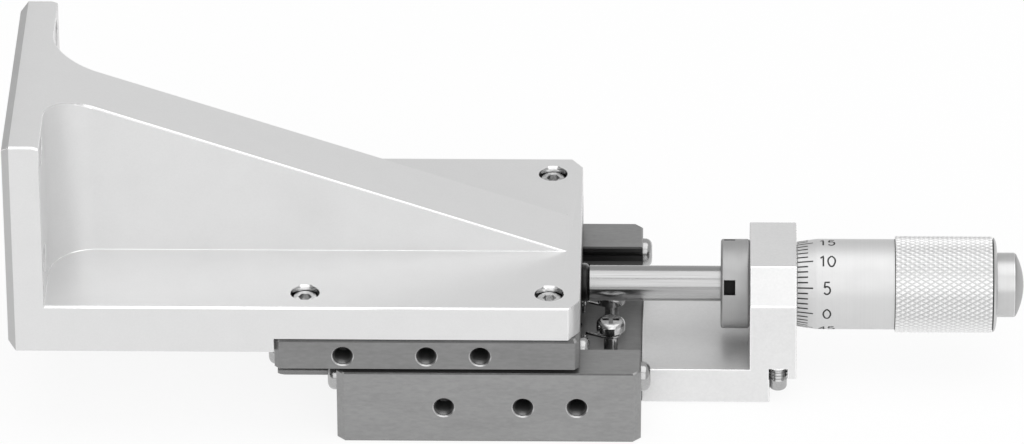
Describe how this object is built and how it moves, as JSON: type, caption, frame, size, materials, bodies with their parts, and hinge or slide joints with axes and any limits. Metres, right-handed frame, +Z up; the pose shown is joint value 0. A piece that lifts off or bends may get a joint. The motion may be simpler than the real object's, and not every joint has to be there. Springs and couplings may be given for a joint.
{
  "type": "ball bearing linear stage",
  "caption": "Manual linear stage on crossed ball ways, driven by a non-rotating-spindle micrometer, with a gusseted angle bracket on its carriage.",
  "frame": {"origin": "centre of the base's underside", "axes": "+X along the travel towards the micrometer, +Y to the rear, +Z up; the carriage rests at its left end"},
  "size_m": [0.2171, 0.065, 0.0717],
  "materials": {
    "base_steel": "dark satin, ground",
    "carriage_steel": "dark satin, ground",
    "bracket_aluminium": "clear anodised, satin",
    "arm_aluminium": "clear anodised, satin",
    "screw_steel": "bright, machined",
    "bolt_steel": "darkened, machined",
    "spring_steel": "drawn wire",
    "ball_steel": "polished",
    "cage_brass": "satin",
    "spindle_steel": "ground and polished",
    "nut_steel": "turned",
    "barrel_steel": "satin",
    "thimble_chrome": "satin chrome",
    "grip_chrome": "knurled satin chrome",
    "knob_steel": "turned"
  },
  "bodies": {
    "base": {"base_body": "base_steel", "base_end_screw_1": "screw_steel", "base_end_screw_2": "screw_steel", "base_end_screw_3": "screw_steel", "base_end_screw_4": "screw_steel", "spring_post_front": "screw_steel", "spring_post_rear": "screw_steel", "return_spring_front": "spring_steel", "return_spring_rear": "spring_steel", "micrometer_arm": "arm_aluminium", "arm_screw_1": "bolt_steel", "arm_screw_2": "bolt_steel", "set_screw": "screw_steel", "micrometer_barrel": "barrel_steel", "clamp_nut": "nut_steel", "adjusting_nut": "nut_steel", "spindle_key": "bolt_steel"},
    "carriage": {"carriage_body": "carriage_steel", "carriage_end_screw_1": "screw_steel", "carriage_end_screw_2": "screw_steel", "carriage_end_screw_3": "screw_steel", "carriage_end_screw_4": "screw_steel", "spring_anchor_front": "screw_steel", "spring_anchor_rear": "screw_steel", "thrust_pad": "bolt_steel", "angle_bracket": "bracket_aluminium", "bracket_screw_1": "bolt_steel", "bracket_screw_2": "bolt_steel", "bracket_screw_3": "bolt_steel", "bracket_screw_4": "bolt_steel"},
    "cage_front": {"ball_cage_front": "cage_brass", "ball_front_1": "ball_steel", "ball_front_2": "ball_steel", "ball_front_3": "ball_steel", "ball_front_4": "ball_steel", "ball_front_5": "ball_steel", "ball_front_6": "ball_steel", "ball_front_7": "ball_steel", "ball_front_8": "ball_steel"},
    "cage_rear": {"ball_cage_rear": "cage_brass", "ball_rear_1": "ball_steel", "ball_rear_2": "ball_steel", "ball_rear_3": "ball_steel", "ball_rear_4": "ball_steel", "ball_rear_5": "ball_steel", "ball_rear_6": "ball_steel", "ball_rear_7": "ball_steel", "ball_rear_8": "ball_steel"},
    "spindle": {"spindle": "spindle_steel"},
    "thimble": {"lead_screw": "spindle_steel", "thimble": "thimble_chrome", "grip_sleeve": "grip_chrome", "end_cap": "knob_steel"}
  },
  "joints": [
    {"name": "carriage_slide", "type": "slide", "parent": "base", "child": "carriage", "axis": [1, 0, 0], "range_m": [0, 0.025], "deforming": ["return_spring_front", "return_spring_rear"]},
    {"name": "cage_front_slide", "type": "slide", "parent": "base", "child": "cage_front", "axis": [1, 0, 0], "range_m": [0, 0.0125]},
    {"name": "cage_rear_slide", "type": "slide", "parent": "base", "child": "cage_rear", "axis": [1, 0, 0], "range_m": [0, 0.0125]},
    {"name": "spindle_slide", "type": "slide", "parent": "base", "child": "spindle", "axis": [1, 0, 0], "range_m": [0, 0.025]},
    {"name": "thimble_turn", "type": "hinge", "parent": "spindle", "child": "thimble", "pos_m": [0.09, 0, 0.02066], "axis": [1, 0, 0], "range_deg": [0, 18000]}
  ],
  "couplings": [
    {"joint": "spindle_slide", "follows": "carriage_slide", "ratio": 1},
    {"joint": "cage_front_slide", "follows": "carriage_slide", "ratio": 0.5},
    {"joint": "cage_rear_slide", "follows": "carriage_slide", "ratio": 0.5},
    {"joint": "thimble_turn", "follows": "carriage_slide", "rad_per_m": 12566}
  ]
}
